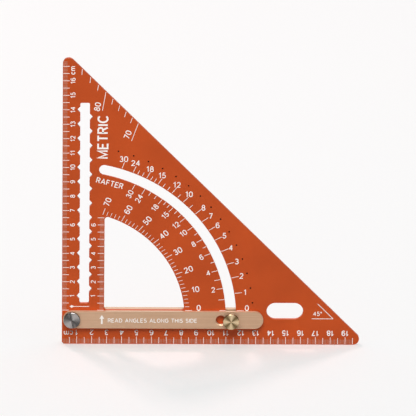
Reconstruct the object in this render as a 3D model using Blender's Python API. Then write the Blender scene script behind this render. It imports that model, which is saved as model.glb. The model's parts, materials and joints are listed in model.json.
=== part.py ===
"""Rafter layout square: a right-angled triangular plate, a rear fence and a swinging bar.

The square stands on its fence edge, +Z up, with the marked face looking along -Y.
Plate outlines are (X, Z) points in a corner frame whose origin is the lower left corner
of the plate's front face.  Bar outlines are measured from the pivot, and the lock's from
its own axis.  The frame empty centres the whole square over the world origin.
"""
import math

import bmesh
import bpy

MM = 0.001

# Plate: both legs run to the line X + Z = HYPOTENUSE_SUM before the tips are rounded.
HYPOTENUSE_SUM = 205.0 * MM
PLATE_THICK = 2.5 * MM
TIP_RADIUS = 4.0 * MM
CORNER_CHAMFER = 1.3 * MM
FENCE_HEIGHT = 23.8 * MM          # the fence's contact face, and zero of every scale

# Everything that turns is centred on the pivot.
BAR_WIDTH = 12.0 * MM
PIVOT_X = 6.7 * MM
PIVOT_Z = FENCE_HEIGHT - BAR_WIDTH / 2
LOCK_RADIUS = 106.5 * MM          # pivot to lock stud, and centre line of the arc slot

# Openings in the plate.
QUADRANT_RADIUS = 75.4 * MM
QUADRANT_LEFT = 28.2 * MM
QUADRANT_FILLET = 2.0 * MM
ARC_SLOT_WIDTH = 6.8 * MM
ARC_SLOT_FIRST = -1.0             # degrees above the bar's rest direction
ARC_SLOT_LAST = 78.6
RECESS_WIDTH = 11.6 * MM          # stepped back of the arc slot, for the nut's flange
RECESS_DEPTH = 1.3 * MM
GAUGE_SLOT_LEFT = 11.7 * MM
GAUGE_SLOT_RIGHT = 18.0 * MM
GAUGE_SLOT_BOTTOM = 28.6 * MM
GAUGE_SLOT_TOP = 168.6 * MM
GAUGE_SLOT_RADIUS = 0.9 * MM
NOTCH_COUNT_LEFT = 14             # every 10 mm from 10 mm above the fence
NOTCH_COUNT_RIGHT = 13            # every 10 mm from 15 mm above the fence
NOTCH_PITCH = 10.0 * MM
NOTCH_HALF_HEIGHT = 2.4 * MM
NOTCH_DEPTH = 2.1 * MM
NOTCH_TIP_RADIUS = 0.5 * MM
HAND_HOLE_LEFT = 137.0 * MM
HAND_HOLE_RIGHT = 161.5 * MM
HAND_HOLE_BOTTOM = 17.8 * MM
HAND_HOLE_TOP = 29.4 * MM
SCRIBE_RADIUS = 121.3 * MM        # blind pencil-point holes, one every 5 degrees
SCRIBE_HOLE_RADIUS = 0.58 * MM
SCRIBE_HOLE_DEPTH = 1.9 * MM
SCRIBE_FIRST = 5.5
SCRIBE_STEP = 5
SCRIBE_COUNT = 15

# Pieces that touch keep this much air between their faces.
AIR = 0.3 * MM

# Fence rail, screwed to the back of the plate.
RAIL_FRONT = PLATE_THICK + AIR
RAIL_THICK = 4.2 * MM
RAIL_BACK = RAIL_FRONT + RAIL_THICK
RAIL_LENGTH = 178.0 * MM
RAIL_CHAMFER = 0.8 * MM
NUT_RELIEF_RIGHT = 13.5 * MM
NUT_RELIEF_BOTTOM = 11.2 * MM
HAND_RELIEF_SIDE = 1.6 * MM
HAND_RELIEF_BELOW = 3.0 * MM       # low enough to stay out of sight through the hole
RELIEF_RADIUS = 2.5 * MM
SCREW_COUNT = 6
SCREW_FIRST_X = 24.0 * MM
SCREW_PITCH = 29.0 * MM
SCREW_Z = 6.5 * MM
SCREW_SHANK = 1.25 * MM           # radius
SCREW_HEAD = 2.8 * MM             # radius
SCREW_SUNK = 0.1 * MM
SCREW_RIM = 0.2 * MM
SCREW_TIP_Y = 1.0 * MM
SCREW_SOCKET = 1.0 * MM           # half the width of the hexagon socket
SCREW_SOCKET_DEPTH = 1.1 * MM
BLIND_HOLE_FLOOR = 0.6 * MM       # front skin left under each tapped hole

# Layout bar, in front of the plate.
BAR_THICK = 2.2 * MM
BAR_BACK = -AIR
BAR_FRONT = BAR_BACK - BAR_THICK
BAR_REACH = 122.1 * MM            # pivot to the centre of the far end's round
SIGHT_HOLE_X = 99.6 * MM
SIGHT_HOLE_RADIUS = 3.1 * MM
SIGHT_HOLE_CHAMFER = 0.5 * MM
LOCK_HOLE_RADIUS = 2.5 * MM

# Pivot stack.
PIVOT_SHANK = 2.5 * MM            # radius
PIVOT_HOLE = PIVOT_SHANK + AIR
PIVOT_HEAD = 5.6 * MM             # radius
PIVOT_HEAD_THICK = 1.9 * MM
PIVOT_HEAD_ROUND = 0.5 * MM
PIVOT_DIMPLE_RADIUS = 0.8 * MM
PIVOT_DIMPLE_DEPTH = 0.35 * MM
PIVOT_SLOT_WIDTH = 1.1 * MM
PIVOT_SLOT_DEPTH = 0.8 * MM
PIVOT_SLOT_TILT = math.radians(13)
PIVOT_END = RAIL_BACK - 0.2 * MM
FRICTION_WASHER_RADIUS = 4.6 * MM
FRICTION_WASHER_THICK = 0.5 * MM
FLAT_WASHER_RADIUS = 4.9 * MM
FLAT_WASHER_THICK = 0.4 * MM
SPRING_WASHER_RADIUS = 4.2 * MM
SPRING_WASHER_THICK = 0.6 * MM
SPRING_WASHER_SPLIT = 0.4 * MM    # half the split
NUT_HALF_FLATS = 4.0 * MM
NUT_END = RAIL_BACK - 0.4 * MM

# Lock: thumb knob, pressed-in stud, washer and a flanged nut that slides in the arc slot.
KNOB_RADIUS = 5.5 * MM
KNOB_RIM = 2.2 * MM
KNOB_BOSS_RADIUS = 3.8 * MM
KNOB_BOSS = 0.7 * MM
KNOB_EDGE = 0.35 * MM
KNOB_TEETH = 40
KNOB_TOOTH_DEPTH = 0.16 * MM
KNOB_SKIN = 1.0 * MM              # face left over the stud's hole
LOCK_STUD_RADIUS = 2.0 * MM
LOCK_STUD_END = 2.2 * MM
KNOB_WASHER_RADIUS = 4.6 * MM
KNOB_WASHER_THICK = 0.5 * MM
CLAMP_NECK_RADIUS = ARC_SLOT_WIDTH / 2 - AIR
CLAMP_NECK_FLAT = 1.2 * MM        # half the length of the flats that keep the nut from turning
CLAMP_FLANGE_RADIUS = RECESS_WIDTH / 2 - AIR - 0.1 * MM
CLAMP_FLANGE_BACK = PLATE_THICK - 0.1 * MM
CLAMP_NECK_FRONT = 0.3 * MM

SMOOTH_ANGLE = math.radians(35)
WELD = 1e-7
ROUND_STEPS = 48
HOLE_STEPS = 32

OVERALL_WIDTH = HYPOTENUSE_SUM - math.sqrt(2) * TIP_RADIUS
KNOB_WASHER_BACK = BAR_FRONT - AIR
KNOB_WASHER_FRONT = KNOB_WASHER_BACK - KNOB_WASHER_THICK
KNOB_BACK = KNOB_WASHER_FRONT - AIR
KNOB_RIM_BACK = KNOB_BACK - KNOB_BOSS
KNOB_FACE = KNOB_RIM_BACK - KNOB_RIM
PIVOT_HEAD_BACK = BAR_FRONT - AIR
PIVOT_HEAD_FACE = PIVOT_HEAD_BACK - PIVOT_HEAD_THICK


# ---------------------------------------------------------------- outlines

def arc(center, radius, first, last, step=6.0):
    """Points along an arc, angles in degrees, both ends included."""
    count = max(1, math.ceil(abs(last - first) / step))
    angles = [math.radians(first + (last - first) * i / count) for i in range(count + 1)]
    return [(center[0] + radius * math.cos(a), center[1] + radius * math.sin(a)) for a in angles]


def circle(center, radius, steps=HOLE_STEPS):
    return arc(center, radius, 0, 360, 360 / steps)[:-1]


def filleted(corners, step=15.0):
    """A polygon of (x, z, radius) corners with every corner of radius > 0 rounded."""
    outline = []
    for i, (x, z, radius) in enumerate(corners):
        before, after = corners[i - 1], corners[(i + 1) % len(corners)]
        if radius == 0:
            outline.append((x, z))
            continue
        into = math.atan2(z - before[1], x - before[0])
        away = math.atan2(after[1] - z, after[0] - x)
        turn = (away - into + math.pi) % (2 * math.pi) - math.pi
        reach = radius * math.tan(abs(turn) / 2)
        side = math.copysign(1.0, turn)
        start = (x - reach * math.cos(into), z - reach * math.sin(into))
        center = (start[0] - side * radius * math.sin(into), start[1] + side * radius * math.cos(into))
        first = math.degrees(into) - side * 90
        outline += arc(center, radius, first, first + math.degrees(turn), step)
    return outline


def stadium(left, right, bottom, top):
    """A horizontal slot with half-round ends."""
    radius = (top - bottom) / 2
    middle = (top + bottom) / 2
    return (arc((right - radius, middle), radius, -90, 90, 10)
            + arc((left + radius, middle), radius, 90, 270, 10))


def arc_slot(radius, width, first, last):
    """A slot of constant width along an arc about the pivot, with half-round ends."""
    pivot = (PIVOT_X, PIVOT_Z)
    ends = [arc(pivot, radius, a, a + 1, 1)[0] for a in (first, last)]
    half = width / 2
    return (arc(pivot, radius + half, first, last, 1.6)
            + arc(ends[1], half, last, last + 180, 12)[1:-1]
            + arc(pivot, radius - half, last, first, 1.6)
            + arc(ends[0], half, first + 180, first + 360, 12)[1:-1])


def quadrant_opening():
    """The quadrant between the inner scale, the fence line and the degree arc."""
    fillet = QUADRANT_FILLET
    inner = QUADRANT_RADIUS - fillet
    low = FENCE_HEIGHT + fillet
    near = QUADRANT_LEFT + fillet
    right = PIVOT_X + math.sqrt(inner ** 2 - (low - PIVOT_Z) ** 2)
    high = PIVOT_Z + math.sqrt(inner ** 2 - (near - PIVOT_X) ** 2)
    first = math.degrees(math.atan2(low - PIVOT_Z, right - PIVOT_X))
    last = math.degrees(math.atan2(high - PIVOT_Z, near - PIVOT_X))
    return (arc((near, low), fillet, 180, 270, 15)
            + arc((right, low), fillet, -90, first, 15)
            + arc((PIVOT_X, PIVOT_Z), QUADRANT_RADIUS, first, last, 1.6)[1:-1]
            + arc((near, high), fillet, last, 180, 15))


def notch(wall_x, height, direction):
    """One V notch in a wall of the gauge slot; direction +1 cuts to the right, going up."""
    half = NOTCH_HALF_HEIGHT * direction
    tip = wall_x + NOTCH_DEPTH * direction
    return [(wall_x, height - half, 0), (tip, height, NOTCH_TIP_RADIUS), (wall_x, height + half, 0)]


def gauge_slot():
    """The tall slot with V notches for the pencil, right wall upwards, then left wall down."""
    corners = [(GAUGE_SLOT_LEFT, GAUGE_SLOT_BOTTOM, GAUGE_SLOT_RADIUS),
               (GAUGE_SLOT_RIGHT, GAUGE_SLOT_BOTTOM, GAUGE_SLOT_RADIUS)]
    for i in range(NOTCH_COUNT_RIGHT):
        corners += notch(GAUGE_SLOT_RIGHT, FENCE_HEIGHT + (i + 1.5) * NOTCH_PITCH, 1)
    corners += [(GAUGE_SLOT_RIGHT, GAUGE_SLOT_TOP, GAUGE_SLOT_RADIUS),
                (GAUGE_SLOT_LEFT, GAUGE_SLOT_TOP, GAUGE_SLOT_RADIUS)]
    for i in reversed(range(NOTCH_COUNT_LEFT)):
        corners += notch(GAUGE_SLOT_LEFT, FENCE_HEIGHT + (i + 1) * NOTCH_PITCH, -1)
    return filleted(corners, 30)


# ---------------------------------------------------------------- solids

def add_object(name, bm, parent, material=None, center=(0, 0)):
    """Link a finished bmesh as an object placed at center (X, Z) in its parent's frame."""
    bmesh.ops.recalc_face_normals(bm, faces=bm.faces)
    mesh = bpy.data.meshes.new(name)
    bm.to_mesh(mesh)
    bm.free()
    obj = bpy.data.objects.new(name, mesh)
    bpy.context.scene.collection.objects.link(obj)
    obj.parent = parent
    obj.location = (center[0], 0, center[1])
    if material:
        mesh.materials.append(material)
    mesh.shade_smooth()
    mesh.set_sharp_from_angle(angle=SMOOTH_ANGLE)
    return obj


def prism(name, outline, front, back, parent, material=None):
    """Closed solid: an (X, Z) outline extruded along Y from front to back."""
    bm = bmesh.new()
    cap = bm.faces.new([bm.verts.new((x, front, z)) for x, z in outline])
    grown = bmesh.ops.extrude_face_region(bm, geom=[cap])
    moved = [item for item in grown["geom"] if isinstance(item, bmesh.types.BMVert)]
    bmesh.ops.translate(bm, verts=moved, vec=(0, back - front, 0))
    return add_object(name, bm, parent, material)


def turned(name, profile, parent, material=None, center=(0, 0), steps=ROUND_STEPS):
    """Closed solid of revolution about Y from (radius, y) points.

    A profile that starts off the axis is a ring and is closed on itself.
    """
    bm = bmesh.new()
    verts = [bm.verts.new((radius, y, 0)) for radius, y in profile]
    edges = [bm.edges.new(pair) for pair in zip(verts, verts[1:])]
    if profile[0][0] > 0:
        edges.append(bm.edges.new((verts[-1], verts[0])))
    bmesh.ops.spin(bm, geom=verts + edges, axis=(0, 1, 0), angle=math.tau, steps=steps,
                   use_merge=True)
    bmesh.ops.remove_doubles(bm, verts=bm.verts, dist=WELD)
    return add_object(name, bm, parent, material, center)


def washer(name, hole, radius, front, back, parent, material):
    return turned(name, [(hole, front), (radius, front), (radius, back), (hole, back)],
                  parent, material)


def shape(target, tools, operation="DIFFERENCE"):
    """Shape target with all its tools in one Boolean; they stay in the file as hidden guides."""
    group = bpy.data.collections.new(f"{target.name}_{operation.lower()}")
    for tool in tools:
        group.objects.link(tool)
        tool.hide_render = True
        tool.display_type = "WIRE"
    modifier = target.modifiers.new(group.name, "BOOLEAN")
    modifier.operation = operation
    modifier.solver = "EXACT"
    modifier.operand_type = "COLLECTION"
    modifier.collection = group


def hexagon(half_flats):
    return [(half_flats / math.cos(math.pi / 6) * math.cos(k * math.pi / 3),
             half_flats / math.cos(math.pi / 6) * math.sin(k * math.pi / 3)) for k in range(6)]


def empty(name, location, parent=None):
    obj = bpy.data.objects.new(name, None)
    obj.location = location
    obj.parent = parent
    bpy.context.scene.collection.objects.link(obj)
    return obj


def metal(name, red, green, blue, roughness, metallic=1.0):
    """A Principled material from 0-255 display colours."""
    made = bpy.data.materials.new(name)
    made.use_nodes = True
    shader = made.node_tree.nodes["Principled BSDF"]
    linear = [(value / 255) ** 2.2 for value in (red, green, blue)]
    shader.inputs["Base Color"].default_value = (*linear, 1)
    shader.inputs["Roughness"].default_value = roughness
    shader.inputs["Metallic"].default_value = metallic
    return made


# ---------------------------------------------------------------- sub-parts

def make_plate(frame, material):
    """Triangular plate with all its openings."""
    outline = filleted([(0, 0, 0), (HYPOTENUSE_SUM, 0, TIP_RADIUS), (0, HYPOTENUSE_SUM, TIP_RADIUS)], 9)
    outline = [(CORNER_CHAMFER, 0)] + outline[1:] + [(0, CORNER_CHAMFER)]
    plate = prism("square_plate", outline, 0, PLATE_THICK, frame, material)
    through = (-PLATE_THICK, 2 * PLATE_THICK)
    openings = {
        "cut_quadrant": quadrant_opening(),
        "cut_arc_slot": arc_slot(LOCK_RADIUS, ARC_SLOT_WIDTH, ARC_SLOT_FIRST, ARC_SLOT_LAST),
        "cut_gauge_slot": gauge_slot(),
        "cut_hand_hole": stadium(HAND_HOLE_LEFT, HAND_HOLE_RIGHT, HAND_HOLE_BOTTOM, HAND_HOLE_TOP),
        "cut_pivot": circle((PIVOT_X, PIVOT_Z), PIVOT_HOLE),
    }
    tools = [prism(name, hole, *through, frame) for name, hole in openings.items()]
    recess = arc_slot(LOCK_RADIUS, RECESS_WIDTH, ARC_SLOT_FIRST, ARC_SLOT_LAST)
    tools.append(prism("cut_recess", recess, PLATE_THICK - RECESS_DEPTH, 2 * PLATE_THICK, frame))
    for i in range(SCRIBE_COUNT):
        degrees = SCRIBE_FIRST + i * SCRIBE_STEP
        spot = arc((PIVOT_X, PIVOT_Z), SCRIBE_RADIUS, degrees, degrees + 1, 1)[0]
        hole = circle(spot, SCRIBE_HOLE_RADIUS, 10)
        tools.append(prism(f"cut_scribe_{degrees}", hole, -PLATE_THICK, SCRIBE_HOLE_DEPTH, frame))
    for index, x in enumerate(screw_places()):
        tapped = circle((x, SCREW_Z), SCREW_SHANK + AIR, 24)
        tools.append(prism(f"cut_tapped_{index + 1}", tapped, BLIND_HOLE_FLOOR, 2 * PLATE_THICK, frame))
    shape(plate, tools)


def screw_places():
    return [SCREW_FIRST_X + index * SCREW_PITCH for index in range(SCREW_COUNT)]


def make_rail(frame, material):
    """Fence rail: flat bar with a relief for the pivot nut and one behind the hand hole."""
    hand_left = HAND_HOLE_LEFT - HAND_RELIEF_SIDE
    hand_right = HAND_HOLE_RIGHT + HAND_RELIEF_SIDE
    hand_floor = HAND_HOLE_BOTTOM - HAND_RELIEF_BELOW
    top, end, soft, relief = FENCE_HEIGHT, RAIL_LENGTH, RAIL_CHAMFER, RELIEF_RADIUS
    outline = filleted([
        (0, 0, soft), (end, 0, soft), (end, top, soft),
        (hand_right, top, soft), (hand_right, hand_floor, relief),
        (hand_left, hand_floor, relief), (hand_left, top, soft),
        (NUT_RELIEF_RIGHT, top, soft), (NUT_RELIEF_RIGHT, NUT_RELIEF_BOTTOM, relief),
        (0, NUT_RELIEF_BOTTOM, soft)], 22.5)
    rail = prism("fence_rail", outline, RAIL_FRONT, RAIL_BACK, frame, material)
    hole = SCREW_SHANK + AIR
    wide = SCREW_HEAD + SCREW_SUNK + SCREW_RIM + AIR * math.sqrt(2)
    over = AIR
    sink = [(0, RAIL_BACK + over), (wide + over, RAIL_BACK + over), (hole, RAIL_BACK - wide + hole),
            (hole, RAIL_FRONT - over), (0, RAIL_FRONT - over)]
    shape(rail, [turned(f"cut_sink_{index + 1}", sink, frame, center=(x, SCREW_Z), steps=24)
                 for index, x in enumerate(screw_places())])


def make_fence_screws(frame, material):
    """Countersunk socket screws, one node each, put in from the back."""
    top = RAIL_BACK - SCREW_SUNK
    rim = top - SCREW_RIM
    neck = rim - (SCREW_HEAD - SCREW_SHANK)
    point = 0.3 * MM
    profile = [(0, top), (SCREW_HEAD, top), (SCREW_HEAD, rim), (SCREW_SHANK, neck),
               (SCREW_SHANK, SCREW_TIP_Y + point), (SCREW_SHANK - point, SCREW_TIP_Y), (0, SCREW_TIP_Y)]
    for index, x in enumerate(screw_places()):
        screw = turned(f"fence_screw_{index + 1}", profile, frame, material, (x, SCREW_Z), 24)
        socket = prism(f"cut_socket_{index + 1}", hexagon(SCREW_SOCKET),
                       top - SCREW_SOCKET_DEPTH, RAIL_BACK + AIR, frame)
        socket.location = screw.location
        shape(screw, [socket])


def make_bar(pivot, material):
    """Layout bar: round-ended strip with pivot, sight and lock holes and a washer recess."""
    half = BAR_WIDTH / 2
    bar = prism("layout_bar", stadium(-half, BAR_REACH + half, -half, half), BAR_FRONT, BAR_BACK,
                pivot, material)
    through = (BAR_FRONT - AIR, BAR_BACK + AIR)
    recess = circle((0, 0), FRICTION_WASHER_RADIUS + AIR, ROUND_STEPS)
    recess_floor = BAR_BACK - FRICTION_WASHER_THICK - AIR
    wide = SIGHT_HOLE_RADIUS + SIGHT_HOLE_CHAMFER
    profile = [(0, through[0]), (wide, through[0]), (wide, BAR_FRONT),
               (SIGHT_HOLE_RADIUS, BAR_FRONT + SIGHT_HOLE_CHAMFER), (SIGHT_HOLE_RADIUS, through[1]),
               (0, through[1])]
    shape(bar, [
        prism("cut_bar_pivot", circle((0, 0), PIVOT_HOLE), *through, pivot),
        prism("cut_bar_lock", circle((LOCK_RADIUS, 0), LOCK_HOLE_RADIUS), *through, pivot),
        prism("cut_bar_recess", recess, recess_floor, BAR_BACK + AIR, pivot),
        turned("cut_bar_sight", profile, pivot, center=(SIGHT_HOLE_X, 0))])


def make_pivot_stack(frame, pivot, steel, nylon):
    """Slotted screw, friction washer, flat washer, split spring washer and hexagon nut."""
    face, back, soft = PIVOT_HEAD_FACE, PIVOT_HEAD_BACK, PIVOT_HEAD_ROUND
    head_edge = [(PIVOT_HEAD - soft + soft * math.sin(a), face + soft - soft * math.cos(a))
                 for a in (math.radians(d) for d in (0, 30, 60, 90))]
    point = 0.4 * MM
    profile = [(0, face + PIVOT_DIMPLE_DEPTH), (PIVOT_DIMPLE_RADIUS, face), *head_edge,
               (PIVOT_HEAD, back), (PIVOT_SHANK, back), (PIVOT_SHANK, PIVOT_END - point),
               (PIVOT_SHANK - point, PIVOT_END), (0, PIVOT_END)]
    place = (PIVOT_X, PIVOT_Z)
    screw = turned("pivot_screw", profile, frame, steel, place)
    half = PIVOT_SLOT_WIDTH / 2
    reach = PIVOT_HEAD + AIR
    slot = prism("cut_driver_slot", [(-half, -reach), (half, -reach), (half, reach), (-half, reach)],
                 face - AIR, face + PIVOT_SLOT_DEPTH, frame)
    slot.location = screw.location
    slot.rotation_euler = (0, -PIVOT_SLOT_TILT, 0)
    shape(screw, [slot])

    washer("friction_washer", PIVOT_HOLE, FRICTION_WASHER_RADIUS,
           BAR_BACK - FRICTION_WASHER_THICK, BAR_BACK, pivot, nylon)

    flat_back = PLATE_THICK + AIR + FLAT_WASHER_THICK
    flat = washer("pivot_flat_washer", PIVOT_HOLE, FLAT_WASHER_RADIUS,
                  PLATE_THICK + AIR, flat_back, frame, steel)
    spring_back = flat_back + AIR + SPRING_WASHER_THICK
    spring = washer("pivot_spring_washer", PIVOT_HOLE, SPRING_WASHER_RADIUS,
                    flat_back + AIR, spring_back, frame, steel)
    gap, reach = SPRING_WASHER_SPLIT, SPRING_WASHER_RADIUS + AIR
    split = prism("cut_split", [(0, -gap), (reach, -gap), (reach, gap), (0, gap)],
                  flat_back, spring_back + AIR, frame)
    nut_front = spring_back + AIR
    nut = prism("pivot_nut", hexagon(NUT_HALF_FLATS), nut_front, NUT_END, frame, steel)
    corner, wide = 0.5 * MM, NUT_HALF_FLATS + 0.1 * MM
    chamfer = turned("cut_nut_chamfer", [
        (0, nut_front - AIR), (wide, nut_front - AIR), (wide, nut_front), (wide + 2 * corner, nut_front + corner),
        (wide + 2 * corner, NUT_END - corner), (wide, NUT_END), (wide, NUT_END + AIR), (0, NUT_END + AIR)],
        frame)
    bore = prism("cut_nut_bore", circle((0, 0), PIVOT_HOLE), nut_front - AIR, NUT_END + AIR, frame)
    for piece in (flat, spring, split, nut, chamfer, bore):
        piece.location = screw.location
    shape(spring, [split])
    shape(nut, [chamfer], "INTERSECT")
    shape(nut, [bore])


def knurl(obj, inner_radius, teeth, depth):
    """Press straight grooves into every vertex of a turned rim outside inner_radius."""
    for vertex in obj.data.vertices:
        x, z = vertex.co.x, vertex.co.z
        if math.hypot(x, z) > inner_radius:
            groove = depth * (0.5 - 0.5 * math.cos(teeth * math.atan2(z, x)))
            shrink = 1 - groove / math.hypot(x, z)
            vertex.co.x = x * shrink
            vertex.co.z = z * shrink


def make_lock(lock, brass, steel):
    """Thumb knob with its pressed-in stud, a washer, and the flanged nut in the arc slot."""
    edge = KNOB_EDGE
    hole = LOCK_STUD_RADIUS + AIR
    hole_floor = KNOB_FACE + KNOB_SKIN
    profile = [(0, KNOB_FACE), (KNOB_RADIUS - edge, KNOB_FACE), (KNOB_RADIUS, KNOB_FACE + edge),
               (KNOB_RADIUS, KNOB_RIM_BACK - edge), (KNOB_RADIUS - edge, KNOB_RIM_BACK),
               (KNOB_BOSS_RADIUS, KNOB_RIM_BACK), (KNOB_BOSS_RADIUS, KNOB_BACK), (hole, KNOB_BACK),
               (hole, hole_floor), (0, hole_floor)]
    knob = turned("lock_knob", profile, lock, brass, steps=2 * KNOB_TEETH)
    knurl(knob, KNOB_RADIUS - edge / 2, KNOB_TEETH, KNOB_TOOTH_DEPTH)

    stud_front = hole_floor + AIR
    point = 0.3 * MM
    turned("lock_stud", [(0, stud_front), (LOCK_STUD_RADIUS, stud_front),
                         (LOCK_STUD_RADIUS, LOCK_STUD_END - point),
                         (LOCK_STUD_RADIUS - point, LOCK_STUD_END), (0, LOCK_STUD_END)],
           lock, steel, steps=HOLE_STEPS)
    washer("knob_washer", hole, KNOB_WASHER_RADIUS, KNOB_WASHER_FRONT, KNOB_WASHER_BACK,
           lock, steel)

    flange_front = PLATE_THICK - RECESS_DEPTH + AIR
    nut = turned("clamp_nut", [(0, flange_front), (CLAMP_FLANGE_RADIUS, flange_front),
                               (CLAMP_FLANGE_RADIUS, CLAMP_FLANGE_BACK), (0, CLAMP_FLANGE_BACK)],
                 lock, brass)
    flat, round_end = CLAMP_NECK_FLAT, CLAMP_NECK_RADIUS
    neck_outline = arc((0, flat), round_end, 0, 180, 10) + arc((0, -flat), round_end, 180, 360, 10)
    neck = prism("join_neck", neck_outline, CLAMP_NECK_FRONT,
                 (flange_front + CLAMP_FLANGE_BACK) / 2, lock)
    shape(nut, [neck], "UNION")
    bore = prism("cut_clamp_bore", circle((0, 0), hole), CLAMP_NECK_FRONT - AIR,
                 CLAMP_FLANGE_BACK + AIR, lock)
    shape(nut, [bore])


def main():
    for obj in list(bpy.data.objects):
        bpy.data.objects.remove(obj)
    orange = metal("orange_anodised", 182, 66, 25, 0.42)
    champagne = metal("champagne_anodised", 190, 153, 124, 0.38)
    steel = metal("bright_steel", 180, 178, 176, 0.25)
    brass = metal("spun_brass", 178, 150, 104, 0.3)
    nylon = metal("white_nylon", 225, 222, 214, 0.5, 0.0)

    middle = (KNOB_FACE + RAIL_BACK) / 2
    frame = empty("square_frame", (-OVERALL_WIDTH / 2, -middle, 0))
    pivot = empty("bar_pivot_axis", (PIVOT_X, 0, PIVOT_Z), frame)
    lock = empty("lock_axis", (LOCK_RADIUS, 0, 0), pivot)

    make_plate(frame, orange)
    make_rail(frame, champagne)
    make_fence_screws(frame, steel)
    make_bar(pivot, champagne)
    make_pivot_stack(frame, pivot, steel, nylon)
    make_lock(lock, brass, steel)


main()
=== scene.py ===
"""The looks of the rafter square: marks, finishes, floor, light and camera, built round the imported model."""
import json
import math

import bmesh
import bpy
from mathutils import Matrix, Vector


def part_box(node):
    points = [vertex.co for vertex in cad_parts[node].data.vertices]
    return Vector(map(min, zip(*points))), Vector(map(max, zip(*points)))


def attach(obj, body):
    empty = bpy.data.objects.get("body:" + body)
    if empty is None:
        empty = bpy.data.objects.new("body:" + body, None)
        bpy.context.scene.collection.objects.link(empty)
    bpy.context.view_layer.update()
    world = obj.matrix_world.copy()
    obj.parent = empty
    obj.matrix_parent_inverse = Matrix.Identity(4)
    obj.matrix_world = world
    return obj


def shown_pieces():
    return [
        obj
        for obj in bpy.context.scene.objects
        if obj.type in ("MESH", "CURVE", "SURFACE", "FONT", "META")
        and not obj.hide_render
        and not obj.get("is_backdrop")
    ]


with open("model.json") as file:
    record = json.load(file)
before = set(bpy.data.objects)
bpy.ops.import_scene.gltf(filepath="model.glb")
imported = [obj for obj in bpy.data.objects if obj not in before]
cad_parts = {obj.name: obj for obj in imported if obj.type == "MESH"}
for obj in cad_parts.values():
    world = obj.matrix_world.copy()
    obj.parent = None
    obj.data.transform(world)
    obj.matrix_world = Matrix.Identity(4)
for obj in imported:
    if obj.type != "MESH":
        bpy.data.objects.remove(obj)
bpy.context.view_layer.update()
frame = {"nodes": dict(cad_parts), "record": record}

MM = 0.001
JOINTS = {joint["name"]: joint for joint in frame["record"]["behaviour"]["joints"]}
SLOT_OF = {part["node"]: part["material_slot"] for part in frame["record"]["subparts"]}

# All marks are measured in millimetres from the low left corner of the plate's marked face.
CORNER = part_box("square_plate")[0]
PIVOT = (Vector(JOINTS["bar_swing"]["pos_m"]) - CORNER) / MM
PLATE_FACE = 0.0
BAR_FACE = (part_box("layout_bar")[0] - CORNER).y / MM
FENCE = 23.8            # height of the rail's contact face, zero of the upright and angle scales
EDGE_OFFSET = 6.0       # from the pivot to the bar edge that reads the angles
MITRE_SUM = 205.0       # x + z along the mitre edge

# How far a mark stands off its face and reaches into it, and how much neighbours differ in height.
PROUD = 0.02
SUNK = 0.05
STEP = 0.004
STEP_COUNT = 4

# Stroke widths. Lettering has its own, as a share of its height.
HAIR = 0.22
FINE = 0.26
BOLD = 0.34
LETTER_WEIGHT = 0.165

# Radii from the pivot.
DEGREES_START = 76.0
DEGREES_TEXT = 85.0
COMMON_START = 110.4
HIP_START = 102.9

# Degrees at which the labelled rises stand. The marks between them are spaced evenly.
COMMON_RISES = {0: 0, 1: 6.4, 2: 12.2, 3: 17.4, 4: 22.5, 5: 27.2, 6: 31.4, 7: 35.3, 8: 39.0, 10: 45,
                12: 50.1, 15: 55.9, 18: 60.4, 24: 65.5, 30: 69.6}
COMMON_PLAIN = (9, 11, 13, 14, 16, 17, 20, 22)
HIP_RISES = {0: 0, 2: 8.8, 4: 16.1, 6: 23.3, 8: 29.6, 10: 35.6, 12: 40.1, 15: 46.1, 18: 51.3, 24: 58.8,
             30: 62.9}
HIP_PLAIN = (1, 3, 5, 7, 9, 13, 14, 16, 17, 20, 22)
ABOVE_FENCE = Vector((0, 1.9))    # lifts a 0 clear of the bar

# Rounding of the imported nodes' edges, in millimetres, and the least angle of an edge that is rounded.
EDGE_ROUND = {"square_plate": 0.14, "fence_rail": 0.25, "layout_bar": 0.22}
SMALL_ROUND = 0.1
SHARP_ANGLE = math.radians(35)

# Floor, world and camera. Angles are in degrees and lengths in metres, but the lens and its sensor are in
# millimetres, and so is the aim, from the corner.
FLOOR_SIZE = 24.0
FLOOR_TONE = (0.93, 0.93, 0.93)
FLOOR_GAP = 0.0001
LAMP_AIM = Vector((0, 0, 0.08))
NEAR_WORLD, FAR_WORLD = 0.15, 0.42
VIEW_AZIMUTH, VIEW_ELEVATION, VIEW_ROLL = -1.5, 17.88, 0.712
VIEW_DISTANCE, LENS, SENSOR = 3.696, 480.65, 36.0
AIM = (96.91, 95.98)


# ---------------------------------------------------------------- marks

def at(x, z):
    return Vector((x, z))


def bow(x, y, across, up, start, end, step=24):
    """Points on an ellipse about (x, y), from one angle to another in degrees, about step apart."""
    count = max(2, round(abs(end - start) / step))
    angles = [math.radians(start + (end - start) * i / count) for i in range(count + 1)]
    return [(x + across * math.cos(a), y + up * math.sin(a)) for a in angles]


def loop(*bows):
    """A closed stroke, whose last point repeats its first."""
    return [point for piece in bows for point in piece][:-1], True


def path(*points):
    """An open stroke."""
    return list(points), False


def six(turned=False):
    """The bowl and tail of a 6, or of a 9 when turned."""
    bowl = bow(0.3, 0.3, 0.3, 0.3, 0, 360)[:-1]
    tail = bow(0.31, 0.62, 0.31, 0.38, 40, 180) + [(0, 0.3)]
    if turned:
        bowl, tail = [[(0.6 - x, 1 - y) for x, y in points] for points in (bowl, tail)]
    return [(bowl, True), (tail, False)]


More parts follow.
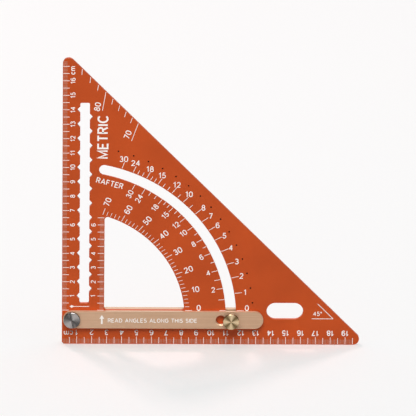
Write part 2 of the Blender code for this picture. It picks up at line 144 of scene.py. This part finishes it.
# Each letter: its width, and its strokes as middle lines in a box one unit tall.
LETTER_GAP = 0.31
LOWER_CASE = 0.7
GLYPHS = {
    " ": (0.25, []),
    "0": (0.6, [loop(bow(0.3, 0.66, 0.3, 0.34, 0, 180), bow(0.3, 0.34, 0.3, 0.34, 180, 360),
                     [(0.6, 0.66)])]),
    "1": (0.38, [path((0.04, 0.76), (0.3, 1), (0.3, 0))]),
    "2": (0.6, [path(*bow(0.3, 0.71, 0.28, 0.29, 165, -35), (0, 0), (0.6, 0))]),
    "3": (0.58, [path(*bow(0.28, 0.76, 0.25, 0.24, 155, -90)),
                 path(*bow(0.28, 0.27, 0.3, 0.27, 100, -155))]),
    "4": (0.64, [path((0.46, 0), (0.46, 1)), path((0.46, 1), (0, 0.3), (0.64, 0.3))]),
    "5": (0.58, [path((0.54, 1), (0.12, 1), (0.05, 0.5), *bow(0.28, 0.31, 0.3, 0.31, 125, -155))]),
    "6": (0.6, six()),
    "7": (0.58, [path((0, 1), (0.58, 1), (0.22, 0))]),
    "8": (0.6, [loop(bow(0.3, 0.76, 0.24, 0.24, 0, 360)), loop(bow(0.3, 0.27, 0.3, 0.27, 0, 360))]),
    "9": (0.6, six(turned=True)),
    "°": (0.26, [loop(bow(0.13, 0.86, 0.13, 0.14, 0, 360, 45))]),
    "c": (0.5, [path(*bow(0.28, 0.35, 0.28, 0.35, 45, 315))]),
    "m": (0.9, [path((0, 0), (0, 0.7)), path(*bow(0.22, 0.45, 0.22, 0.25, 180, 0), (0.44, 0)),
                path(*bow(0.66, 0.45, 0.22, 0.25, 180, 0), (0.88, 0))]),
    "A": (0.76, [path((0, 0), (0.38, 1), (0.76, 0)), path((0.13, 0.32), (0.63, 0.32))]),
    "C": (0.7, [path(*bow(0.4, 0.5, 0.4, 0.5, 45, 315))]),
    "D": (0.68, [path((0, 0), (0, 1), (0.28, 1), *bow(0.28, 0.5, 0.4, 0.5, 70, -70), (0.28, 0),
                      (-0.06, 0))]),
    "E": (0.54, [path((0.54, 1), (0, 1), (0, 0), (0.56, 0)), path((0, 0.52), (0.5, 0.52))]),
    "F": (0.5, [path((0.52, 1), (0, 1), (0, 0)), path((0, 0.5), (0.46, 0.5))]),
    "G": (0.76, [path(*bow(0.4, 0.5, 0.4, 0.5, 45, 330), (0.76, 0.46), (0.42, 0.46))]),
    "H": (0.64, [path((0, 0), (0, 1)), path((0.64, 0), (0.64, 1)), path((0, 0.52), (0.64, 0.52))]),
    "I": (0.0, [path((0, 0), (0, 1))]),
    "L": (0.5, [path((0, 1), (0, 0), (0.5, 0))]),
    "M": (0.78, [path((0, 0), (0, 1), (0.39, 0.1), (0.78, 1), (0.78, 0))]),
    "N": (0.64, [path((0, 0), (0, 1), (0.64, 0), (0.64, 1))]),
    "O": (0.78, [loop(bow(0.39, 0.5, 0.39, 0.5, 0, 360))]),
    "R": (0.6, [path((0, 0), (0, 1), (0.34, 1), *bow(0.34, 0.75, 0.25, 0.25, 65, -65), (0.34, 0.5),
                     (0, 0.5)),
                path((0.34, 0.5), (0.62, 0))]),
    "S": (0.6, [path(*bow(0.3, 0.75, 0.26, 0.25, 35, 250), *bow(0.3, 0.26, 0.3, 0.26, 70, -150))]),
    "T": (0.62, [path((0, 1), (0.62, 1)), path((0.31, 1), (0.31, 0))]),
}


def ray(distance, angle):
    """A point on the bar's reading edge, from its distance to the pivot and the bar's angle in degrees."""
    along = math.sqrt(distance ** 2 - EDGE_OFFSET ** 2)
    c, s = math.cos(math.radians(angle)), math.sin(math.radians(angle))
    return at(PIVOT.x - EDGE_OFFSET * s + along * c, PIVOT.z + EDGE_OFFSET * c + along * s)


class Marks:
    """Flat marks on one face, gathered into one mesh of closed shells."""

    def __init__(self, name, body, face=PLATE_FACE):
        self.name, self.body, self.face = name, body, face
        self.shells, self.strokes = bmesh.new(), 0

    def place(self, point, depth):
        return CORNER + Vector((point.x, self.face + depth, point.y)) * MM

    def proud(self):
        """The next stroke's height. Neighbours differ, so that strokes that cross don't share a face."""
        self.strokes += 1
        return PROUD + STEP * (self.strokes % STEP_COUNT)

    def polygon(self, points, tone=0):
        """A closed slab over a flat outline. Tone 1 is the second material, for hairlines."""
        proud = self.proud()
        front = [self.shells.verts.new(self.place(p, -proud)) for p in points]
        back = [self.shells.verts.new(self.place(p, SUNK)) for p in points]
        faces = [self.shells.faces.new(front), self.shells.faces.new(back[::-1])]
        for i, j in zip(range(len(points)), [*range(1, len(points)), 0]):
            faces.append(self.shells.faces.new((front[j], front[i], back[i], back[j])))
        for face in faces:
            face.material_index = tone

    def line(self, start, end, width=FINE):
        side = (end - start).normalized().orthogonal() * width / 2
        self.polygon([start - side, end - side, end + side, start + side][::-1], int(width == HAIR))

    def ribbon(self, points, width, closed=False):
        """A stroke of even width along a line of points, mitred where it turns but not to a long spike."""
        count = len(points)
        left, right = [], []
        for i, point in enumerate(points):
            ways = []
            if i or closed:
                ways.append((point - points[i - 1]).normalized())
            if i < count - 1 or closed:
                ways.append((points[(i + 1) % count] - point).normalized())
            side = sum(ways, Vector((0, 0))).normalized().orthogonal()
            reach = width / 2 / max(0.5, abs(side.dot(ways[0].orthogonal())))
            left.append(point + side * reach)
            right.append(point - side * reach)
        proud = self.proud()
        rows = [[self.shells.verts.new(self.place(p, depth)) for p in row]
                for row, depth in ((left, -proud), (right, -proud), (right, SUNK), (left, SUNK))]
        for i in range(count if closed else count - 1):
            j = (i + 1) % count
            for a, b in zip(rows, rows[1:] + rows[:1]):
                self.shells.faces.new((a[i], a[j], b[j], b[i]))
        if not closed:
            self.shells.faces.new([row[0] for row in rows])
            self.shells.faces.new([row[-1] for row in rows][::-1])

    def word(self, text, centre, height, turn=0.0, weight=LETTER_WEIGHT, stretch=1.0):
        """Lettering with its middle at centre, turned anticlockwise by degrees.

        Weight is the stroke's width as a share of the letters' middle lines' height.
        """
        scale = height / (1 + weight)
        length = sum(GLYPHS[c][0] for c in text) + LETTER_GAP * (len(text) - 1)
        tall = LOWER_CASE if text.islower() else 1.0
        c, s = math.cos(math.radians(turn)), math.sin(math.radians(turn))
        pen = -length / 2
        for letter in text:
            width, paths = GLYPHS[letter]
            for points, closed in paths:
                laid = [at(x + pen, y - tall / 2) * scale for x, y in points]
                laid = [centre + at(x * stretch * c - z * s, x * stretch * s + z * c) for x, z in laid]
                self.ribbon(laid, weight * scale, closed)
            pen += width + LETTER_GAP

    def finish(self, *materials):
        """Makes the piece. A second material is for its hairlines."""
        bmesh.ops.recalc_face_normals(self.shells, faces=self.shells.faces)
        mesh = bpy.data.meshes.new(self.name)
        self.shells.to_mesh(mesh)
        self.shells.free()
        made = bpy.data.objects.new(self.name, mesh)
        bpy.context.scene.collection.objects.link(made)
        for material in materials:
            mesh.materials.append(material)
        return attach(made, self.body)


def ruler_column(marks, edge, inward, top, number_line, number_height, last_number):
    """A millimetre scale that climbs from the fence line to top.

    Its ticks start at edge and run inward, a signed length, and half as far again every 5 mm.
    """
    for i in range(int(top - FENCE) + 1):
        fifth = i % 5 == 0
        height = FENCE + i
        marks.line(at(edge, height), at(edge + inward * (1.5 if fifth else 1.0), height),
                   BOLD if fifth else HAIR)
    for n in range(1, last_number + 1):
        marks.word(str(n), at(number_line, FENCE + 10 * n), number_height, 90)


def upright_scale():
    marks = Marks("upright_scale", "square")
    ruler_column(marks, 0.3, 2.8, 197.0, 6.8, 3.3, 16)
    marks.word("cm", at(6.9, FENCE + 167.2), 3.6, 90)
    return marks


def inner_scale():
    marks = Marks("inner_scale", "square")
    ruler_column(marks, 27.8, -2.75, 89.0, 20.8, 3.2, 6)
    return marks


def base_scale():
    marks = Marks("base_scale", "square")
    foot = 0.4
    for i in range(1, 196):
        length = 4.8 if i % 10 == 0 else 4.3 if i % 5 == 0 else 3.2
        marks.line(at(i, foot), at(i, foot + length), BOLD if i % 5 == 0 else HAIR)
    for n in range(1, 20):
        marks.word(str(n), at(10 * n, 8.1), 3.9, 180, 0.19)
    marks.word("cm", at(4.4, 7.9), 3.9, 180)
    return marks


def degree_scale():
    marks = Marks("degree_scale", "square")
    for angle in range(0, 71, 2):
        tens = angle % 10 == 0
        length = 4.6 if tens else 2.9
        marks.line(ray(DEGREES_START, angle), ray(DEGREES_START + length, angle), BOLD if tens else FINE)
        if tens:
            lift = ABOVE_FENCE if angle == 0 else at(0, 0.3)
            marks.word(str(angle), ray(DEGREES_TEXT, angle) + lift, 4.1, angle)
    for angle in range(70, 88, 2):      # these stand on the mitre edge
        direction = at(math.cos(math.radians(angle)), math.sin(math.radians(angle)))
        start = ray(EDGE_OFFSET, angle)
        reach = (MITRE_SUM - sum(start)) / sum(direction) - 0.25
        length = 13.0 if angle in (70, 80) else 3.9
        marks.line(start + direction * (reach - length), start + direction * reach, BOLD)
    marks.word("70", at(43.1, 146.7), 4.1, 70)
    marks.word("80", at(23.0, 166.0), 4.1, 80)
    return marks


def angle_of(rise, rises):
    """The angle of a rise, even between the labelled ones."""
    if rise in rises:
        return rises[rise]
    low, high = max(n for n in rises if n < rise), min(n for n in rises if n > rise)
    return rises[low] + (rises[high] - rises[low]) * (rise - low) / (high - low)


def rafter_scale():
    """Rise to run, for common rafters."""
    marks = Marks("rafter_scale", "square")
    for n in sorted([*COMMON_RISES, *COMMON_PLAIN]):
        angle = angle_of(n, COMMON_RISES)
        labelled = n in COMMON_RISES
        length = 4.8 if labelled else 2.8
        marks.line(ray(COMMON_START, angle), ray(COMMON_START + length, angle), BOLD)
        if labelled:
            spot = ray(117.2, angle) if n < 10 else ray(117.0, angle + 0.6)
            marks.word(str(n), spot + ABOVE_FENCE * (n == 0), 4.0)
    return marks


def hip_scale():
    """Rise to the diagonal run, for hip and valley rafters."""
    marks = Marks("hip_scale", "square")
    for n in sorted([*HIP_RISES, *HIP_PLAIN]):
        angle = angle_of(n, HIP_RISES)
        length = 4.0 if n in HIP_RISES or n < 5 else 2.5
        marks.line(ray(HIP_START, angle), ray(HIP_START - length, angle), BOLD)
        if n and n in HIP_RISES:
            marks.word(str(n), ray(95.5 if n > 9 else 96.6, angle), 3.8, angle)
    marks.word("RAFTER", at(31.4, 113.0), 4.0, -14.6, 0.17)
    return marks


def plate_word():
    marks = Marks("plate_word", "square")
    marks.word("METRIC", at(26.7, 145.0), 7.4, 90, 0.18, 0.96)
    return marks


def corner_symbols():
    marks = Marks("corner_symbols", "square")
    marks.line(at(167.3, 18.3), at(181.7, 18.3), 0.4)
    marks.line(at(181.7, 18.3), at(171.2, 28.8), 0.4)
    marks.word("45°", at(171.2, 21.8), 3.0)
    marks.line(at(7.0, 26.4), at(18.2, 26.4), 0.36)
    marks.polygon([at(5.1, 26.4), at(6.6, 25.4), at(8.1, 26.4), at(6.6, 27.4)])
    return marks


def bar_words():
    marks = Marks("bar_words", "bar", BAR_FACE)
    marks.line(at(26.7, 14.9), at(26.7, 18.8), 1.1)
    marks.polygon([at(25.1, 18.6), at(28.3, 18.6), at(26.7, 21.2)])
    marks.word("READ ANGLES ALONG THIS SIDE", at(60.6, 17.4), 2.9, 0, 0.17, 1.06)
    return marks


# ---------------------------------------------------------------- materials

class Nodes:
    """A material's node tree with short ways to add and link nodes."""

    def __init__(self, name):
        self.material = bpy.data.materials.new(name)
        self.material.use_nodes = True
        self.tree = self.material.node_tree
        self.shader = self.tree.nodes["Principled BSDF"]
        self.where = self.add("ShaderNodeTexCoord").outputs["Object"]

    def add(self, kind, **settings):
        """A new node with the given properties."""
        node = self.tree.nodes.new(kind)
        for key, value in settings.items():
            setattr(node, key, value)
        return node

    def link(self, output, socket):
        self.tree.links.new(output, socket)

    def set(self, **values):
        """Sets the shader's own sockets, with _ for a space in a name."""
        for key, value in values.items():
            self.shader.inputs[key.replace("_", " ")].default_value = value

    def mapped(self, scale=(1, 1, 1), centre=(0, 0, 0)):
        """Object coordinates about a centre, in metres, times scale."""
        mapping = self.add("ShaderNodeMapping")
        mapping.inputs["Scale"].default_value = scale
        mapping.inputs["Location"].default_value = [-c * s for c, s in zip(centre, scale)]
        self.link(self.where, mapping.inputs["Vector"])
        return mapping.outputs["Vector"]

    def noise(self, vector, scale, detail=2.0, rough=0.5):
        node = self.add("ShaderNodeTexNoise")
        node.inputs["Scale"].default_value = scale
        node.inputs["Detail"].default_value = detail
        node.inputs["Roughness"].default_value = rough
        self.link(vector, node.inputs["Vector"])
        return node.outputs["Fac"]

    def rings(self, vector, pitch):
        """Concentric rings about the Y axis, as a lathe leaves them, a pitch apart in metres."""
        node = self.add("ShaderNodeTexWave", wave_type="RINGS", rings_direction="Y")
        node.inputs["Scale"].default_value = math.pi / 10 / pitch       # the wave repeats every pi / 10
        node.inputs["Distortion"].default_value = 0.6
        node.inputs["Detail"].default_value = 1.0
        self.link(vector, node.inputs["Vector"])
        return node.outputs["Fac"]

    def lobes(self, vector, pairs, lean):
        """Pairs of light and dark wedges about the Y axis, painted into the colour: a painted sheen, as a spun
        face reflects.
        """
        turn = self.add("ShaderNodeMapping", vector_type="POINT")
        turn.inputs["Rotation"].default_value = (math.pi / 2, 0, math.radians(lean))
        sweep = self.add("ShaderNodeTexGradient", gradient_type="RADIAL")
        wave = self.add("ShaderNodeMath", operation="SINE")
        widen = self.add("ShaderNodeMath", operation="MULTIPLY")
        widen.inputs[1].default_value = 2 * math.pi * pairs
        unit = self.add("ShaderNodeMapRange")
        unit.inputs["From Min"].default_value = -1
        self.link(vector, turn.inputs["Vector"])
        self.link(turn.outputs["Vector"], sweep.inputs["Vector"])
        self.link(sweep.outputs["Fac"], widen.inputs[0])
        self.link(widen.outputs["Value"], wave.inputs[0])
        self.link(wave.outputs["Value"], unit.inputs["Value"])
        return unit.outputs["Result"]

    def ramp(self, factor, stops):
        """A colour from two stops, each a place and a colour."""
        node = self.add("ShaderNodeValToRGB")
        for stop, (place, colour) in zip(node.color_ramp.elements, stops):
            stop.position, stop.color = place, (*colour, 1)
        self.link(factor, node.inputs["Fac"])
        return node.outputs["Color"]

    def grime(self, colour, reach, shade_colour):
        """The colour, darkened where the part's own walls stand close together: painted shade in its holes,
        slots and gaps.
        """
        hollow = self.add("ShaderNodeAmbientOcclusion", only_local=True, samples=8)
        hollow.inputs["Distance"].default_value = reach
        blend = self.add("ShaderNodeMix", data_type="RGBA")
        blend.inputs["A"].default_value = (*shade_colour, 1)
        fade = self.add("ShaderNodeMapRange")
        fade.inputs["From Min"].default_value, fade.inputs["From Max"].default_value = 0.5, 0.95
        self.link(hollow.outputs["AO"], fade.inputs["Value"])
        self.link(fade.outputs["Result"], blend.inputs["Factor"])
        self.link(colour, blend.inputs["B"])
        return blend.outputs["Result"]

    def spread(self, factor, low, high):
        """Maps a 0 to 1 factor, which noise keeps near its middle, onto a range."""
        node = self.add("ShaderNodeMapRange")
        node.inputs["From Min"].default_value = 0.3
        node.inputs["From Max"].default_value = 0.7
        node.inputs["To Min"].default_value = low
        node.inputs["To Max"].default_value = high
        self.link(factor, node.inputs["Value"])
        return node.outputs["Result"]

    def mixed(self, first, second, share):
        """The first value, with a share of the second."""
        node = self.add("ShaderNodeMix", data_type="FLOAT")
        node.inputs["Factor"].default_value = share
        self.link(first, node.inputs["A"])
        self.link(second, node.inputs["B"])
        return node.outputs["Result"]

    def bump(self, height, distance, strength=1.0):
        node = self.add("ShaderNodeBump")
        node.inputs["Distance"].default_value = distance
        node.inputs["Strength"].default_value = strength
        self.link(height, node.inputs["Height"])
        self.link(node.outputs["Normal"], self.shader.inputs["Normal"])


def anodised_plate():
    """Satin anodising over a fine blasted grain, a little uneven in tone."""
    m = Nodes("orange_anodised")
    here = m.mapped()
    cloud = m.noise(here, 28, 3)
    grain = m.noise(here, 2600, 3, 0.7)
    tone = m.mixed(cloud, grain, 0.35)
    colour = m.ramp(tone, [(0.3, (0.43, 0.055, 0.004)), (0.7, (0.55, 0.075, 0.007))])
    # Painted shade: the plate's colour darkens inside its own holes, slots and notches.
    m.link(m.grime(colour, 1.4 * MM, (0.03, 0.008, 0.004)), m.shader.inputs["Base Color"])
    m.link(m.spread(grain, 0.36, 0.5), m.shader.inputs["Roughness"])
    m.bump(grain, 0.02 * MM, 0.5)
    m.set(Metallic=0.45)
    return m.material


def brushed_champagne():
    """Anodising over fine brush lines that run along the part."""
    m = Nodes("champagne_anodised")
    strokes = m.noise(m.mapped((25, 900, 2400)), 1.0, 4, 0.65)
    cloud = m.noise(m.mapped(), 35, 2)
    tone = m.mixed(strokes, cloud, 0.3)
    colour = m.ramp(tone, [(0.3, (0.50, 0.31, 0.19)), (0.7, (0.63, 0.41, 0.27))])
    m.link(colour, m.shader.inputs["Base Color"])
    m.link(m.spread(strokes, 0.3, 0.46), m.shader.inputs["Roughness"])
    m.bump(strokes, 0.02 * MM, 0.35)
    m.set(Metallic=0.55, Anisotropic=0.4)
    return m.material


def turned_metal(name, node, dark, light, pitch, painted_glints=0.2, pairs=2, lean=0.0):
    """Metal turned on a lathe: fine rings about the part's own axis, and crossed light and dark wedges painted
    into the colour as a painted reflection.

    The painted glint argument sets how strong the painted wedges are, and lean turns them by degrees.
    """
    low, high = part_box(node)
    m = Nodes(name)
    here = m.mapped((1, 1, 1), (low + high) / 2)
    rings = m.rings(here, pitch)
    scuffs = m.noise(here, 2500, 3, 0.6)
    tone = m.mixed(m.spread(scuffs, 0.4, 0.6), rings, 0.35)
    # Painted reflection: light and dark wedges mixed into the colour, the sheen a spun face would show.
    tone = m.mixed(tone, m.lobes(here, pairs, lean), painted_glints)
    colour = m.ramp(tone, [(0.15, dark), (0.85, light)])
    # Painted shade: the colour darkens inside the part's own slots and hollows, such as a screw's driver slot.
    m.link(m.grime(colour, 0.8 * MM, [c * 0.15 for c in dark]), m.shader.inputs["Base Color"])
    m.link(m.spread(scuffs, 0.2, 0.3), m.shader.inputs["Roughness"])
    m.bump(rings, 0.01 * MM, 0.3)
    m.set(Metallic=1.0, Anisotropic=0.6)
    m.link(m.add("ShaderNodeTangent", direction_type="RADIAL", axis="Y").outputs["Tangent"],
           m.shader.inputs["Tangent"])
    return m.material


def nylon():
    """Milky moulded plastic."""
    m = Nodes("white_nylon")
    here = m.mapped()
    grain = m.noise(here, 1500, 2)
    colour = m.ramp(grain, [(0.3, (0.70, 0.69, 0.65)), (0.7, (0.80, 0.79, 0.76))])
    m.link(colour, m.shader.inputs["Base Color"])
    m.link(m.spread(grain, 0.45, 0.6), m.shader.inputs["Roughness"])
    m.bump(grain, 0.02 * MM, 0.3)
    m.set(Subsurface_Weight=0.1, Subsurface_Scale=MM)
    return m.material


def laser_mark(name, dark, light):
    """The frosted tone that a laser leaves in anodising, between a dark and a light colour."""
    m = Nodes(name)
    here = m.mapped()
    frost = m.noise(here, 3500, 3, 0.8)
    m.link(m.ramp(frost, [(0.3, dark), (0.65, light)]), m.shader.inputs["Base Color"])
    m.link(m.spread(frost, 0.6, 0.8), m.shader.inputs["Roughness"])
    m.bump(frost, 0.02 * MM, 0.3)
    return m.material


def paper():
    """A matt backdrop with a faint grain."""
    m = Nodes("floor_paper")
    grain = m.noise(m.mapped(), 400, 3)
    m.link(m.ramp(grain, [(0.3, FLOOR_TONE), (0.7, [min(1.0, c * 1.01) for c in FLOOR_TONE])]),
           m.shader.inputs["Base Color"])
    m.set(Roughness=0.9, Specular_IOR_Level=0.1)
    return m.material


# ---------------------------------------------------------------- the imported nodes

def smooth_by_angle():
    """Geometry nodes that smooth every face and keep edges above the sharp angle sharp."""
    group = bpy.data.node_groups.new("smooth_by_angle", "GeometryNodeTree")
    group.interface.new_socket("Geometry", in_out="INPUT", socket_type="NodeSocketGeometry")
    group.interface.new_socket("Geometry", in_out="OUTPUT", socket_type="NodeSocketGeometry")
    add, link = group.nodes.new, group.links.new
    start, end = add("NodeGroupInput"), add("NodeGroupOutput")
    faces, edges = add("GeometryNodeSetShadeSmooth"), add("GeometryNodeSetShadeSmooth")
    faces.domain, edges.domain = "FACE", "EDGE"
    faces.inputs["Shade Smooth"].default_value = True
    edges.inputs["Shade Smooth"].default_value = False
    angle, sharp = add("GeometryNodeInputMeshEdgeAngle"), add("FunctionNodeCompare")
    sharp.data_type, sharp.operation = "FLOAT", "GREATER_THAN"
    sharp.inputs["B"].default_value = SHARP_ANGLE
    link(start.outputs[0], faces.inputs["Geometry"])
    link(faces.outputs[0], edges.inputs["Geometry"])
    link(angle.outputs["Unsigned Angle"], sharp.inputs["A"])
    link(sharp.outputs["Result"], edges.inputs["Selection"])
    link(edges.outputs[0], end.inputs[0])
    return group


def soften(name, node, smoothing):
    """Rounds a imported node's edges and smooths its curves, with modifiers only."""
    weld = node.modifiers.new("weld", "WELD")
    weld.merge_threshold = 1e-6
    flat = node.modifiers.new("flat", "DECIMATE")
    flat.decimate_type, flat.angle_limit = "DISSOLVE", math.radians(0.5)
    bevel = node.modifiers.new("edges", "BEVEL")
    bevel.width = EDGE_ROUND.get(name, SMALL_ROUND) * MM
    bevel.segments, bevel.limit_method, bevel.angle_limit = 2, "ANGLE", SHARP_ANGLE
    node.modifiers.new("smooth", "NODES").node_group = smoothing
    level = node.modifiers.new("level", "WEIGHTED_NORMAL")
    level.keep_sharp, level.weight = True, 80


def turned_finish(name, slot):
    """The metal of a turned part. Rings and painted glint wedges are centred on the part, so each has its own.
    """
    # Each finish sets the strength and turn of its painted reflection wedges.
    if slot == "spun_brass":
        return turned_metal(name + "_brass", name, (0.17, 0.115, 0.05), (0.78, 0.60, 0.37), 0.22 * MM,
                            painted_glints=0.7, pairs=4, lean=20)
    if name == "pivot_screw":
        return turned_metal("pivot_steel", name, (0.01, 0.01, 0.01), (0.48, 0.47, 0.46), 0.2 * MM,
                            painted_glints=0.45, lean=100)
    return turned_metal(name + "_steel", name, (0.25, 0.25, 0.25), (0.72, 0.71, 0.69), 0.18 * MM)


def dress_nodes():
    """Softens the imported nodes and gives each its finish."""
    smoothing = smooth_by_angle()
    shared = {"orange_anodised": anodised_plate(), "champagne_anodised": brushed_champagne(),
              "white_nylon": nylon()}
    for name, node in frame["nodes"].items():
        soften(name, node, smoothing)
        slot = SLOT_OF[name]
        node.data.materials.clear()
        node.data.materials.append(shared.get(slot) or turned_finish(name, slot))


# ---------------------------------------------------------------- stage

def floor():
    mesh = bpy.data.meshes.new("floor")
    half = FLOOR_SIZE / 2
    corners = [(-half, -half, 0), (half, -half, 0), (half, half, 0), (-half, half, 0)]
    mesh.from_pydata(corners, [], [(0, 1, 2, 3)])
    mesh.materials.append(paper())
    made = bpy.data.objects.new("floor", mesh)
    made.location.z = -FLOOR_GAP
    made.visible_diffuse = False        # its bounce would bleach the plate's lower half
    bpy.context.scene.collection.objects.link(made)
    made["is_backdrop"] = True


def lamp(name, towards, distance, size, power, colour=(1, 1, 1), only=None):
    """A square soft light, seen from the object in a given direction. It may light one collection only."""
    light = bpy.data.lights.new(name, "AREA")
    light.shape, light.size, light.energy, light.color = "SQUARE", size, power, colour
    made = bpy.data.objects.new(name, light)
    direction = Vector(towards).normalized()
    made.location = LAMP_AIM + direction * distance
    made.rotation_euler = direction.to_track_quat("Z", "Y").to_euler()
    bpy.context.scene.collection.objects.link(made)
    made.light_linking.receiver_collection = only
    return made


def world_light():
    """A white studio that is brighter behind the object than on the near side."""
    world = bpy.data.worlds.new("studio")
    world.use_nodes = True
    nodes, links = world.node_tree.nodes, world.node_tree.links
    nodes["Background"].inputs["Color"].default_value = (1, 0.995, 0.99, 1)
    where, split = nodes.new("ShaderNodeTexCoord"), nodes.new("ShaderNodeSeparateXYZ")
    depth = nodes.new("ShaderNodeMapRange")
    depth.interpolation_type = "SMOOTHSTEP"
    for key, value in (("From Min", -0.9), ("From Max", 0.6), ("To Min", NEAR_WORLD), ("To Max", FAR_WORLD)):
        depth.inputs[key].default_value = value
    links.new(where.outputs["Generated"], split.inputs["Vector"])
    links.new(split.outputs["Y"], depth.inputs["Value"])
    links.new(depth.outputs["Result"], nodes["Background"].inputs["Strength"])
    bpy.context.scene.world = world


def studio():
    """The world and four lamps. The wash keeps the floor near white and doesn't reach the object."""
    world_light()
    bpy.context.scene.view_settings.view_transform = "Standard"
    pieces, ground = bpy.data.collections.new("pieces"), bpy.data.collections.new("ground")
    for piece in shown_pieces():
        pieces.objects.link(piece)
    ground.objects.link(bpy.data.objects["floor"])
    # Each has a direction, then a distance and a size in metres, and a power in watts.
    lamp("key", (-78, 116, 200), 3.0, 0.45, 19, (1, 0.66, 0.63))
    lamp("top", (-10, -100, 150), 3.0, 1.7, 160, only=pieces)
    lamp("back", (10, 130, 42), 3.0, 1.4, 6, only=pieces)
    wash = lamp("wash", (0, 0, 1), 6.0, 6.0, 290, (0.9, 0.99, 1), only=ground)
    wash.data.use_shadow = False


def camera():
    """A long lens, set by its azimuth, elevation and roll about an aim on the plate's face."""
    data = bpy.data.cameras.new("camera")
    data.lens, data.sensor_width, data.clip_end = LENS, SENSOR, 60.0
    made = bpy.data.objects.new("camera", data)
    azimuth, elevation, roll = (math.radians(v) for v in (VIEW_AZIMUTH, VIEW_ELEVATION, VIEW_ROLL))
    level = math.cos(elevation)
    back = Vector((math.sin(azimuth) * level, -math.cos(azimuth) * level, math.sin(elevation)))
    right = Vector((math.cos(azimuth), math.sin(azimuth), 0))
    up = back.cross(right)
    axes = Matrix((right * math.cos(roll) + up * math.sin(roll),
                   up * math.cos(roll) - right * math.sin(roll), back)).transposed()
    aim = CORNER + Vector((AIM[0], 0, AIM[1])) * MM
    made.matrix_world = Matrix.Translation(aim + back * VIEW_DISTANCE) @ axes.to_4x4()
    bpy.context.scene.collection.objects.link(made)
    bpy.context.scene.camera = made


# ---------------------------------------------------------------- build

white_mark = laser_mark("laser_mark", (0.72, 0.66, 0.62), (0.92, 0.89, 0.87))
faint_mark = laser_mark("laser_mark_faint", (0.74, 0.69, 0.64), (0.90, 0.87, 0.83))
thin_mark = laser_mark("laser_mark_thin", (0.30, 0.19, 0.14), (0.46, 0.33, 0.26))
for build in (upright_scale, inner_scale, base_scale):
    build().finish(white_mark, thin_mark)
for build in (degree_scale, rafter_scale, hip_scale, plate_word, corner_symbols):
    build().finish(white_mark)
bar_words().finish(faint_mark)
dress_nodes()
floor()
studio()
camera()
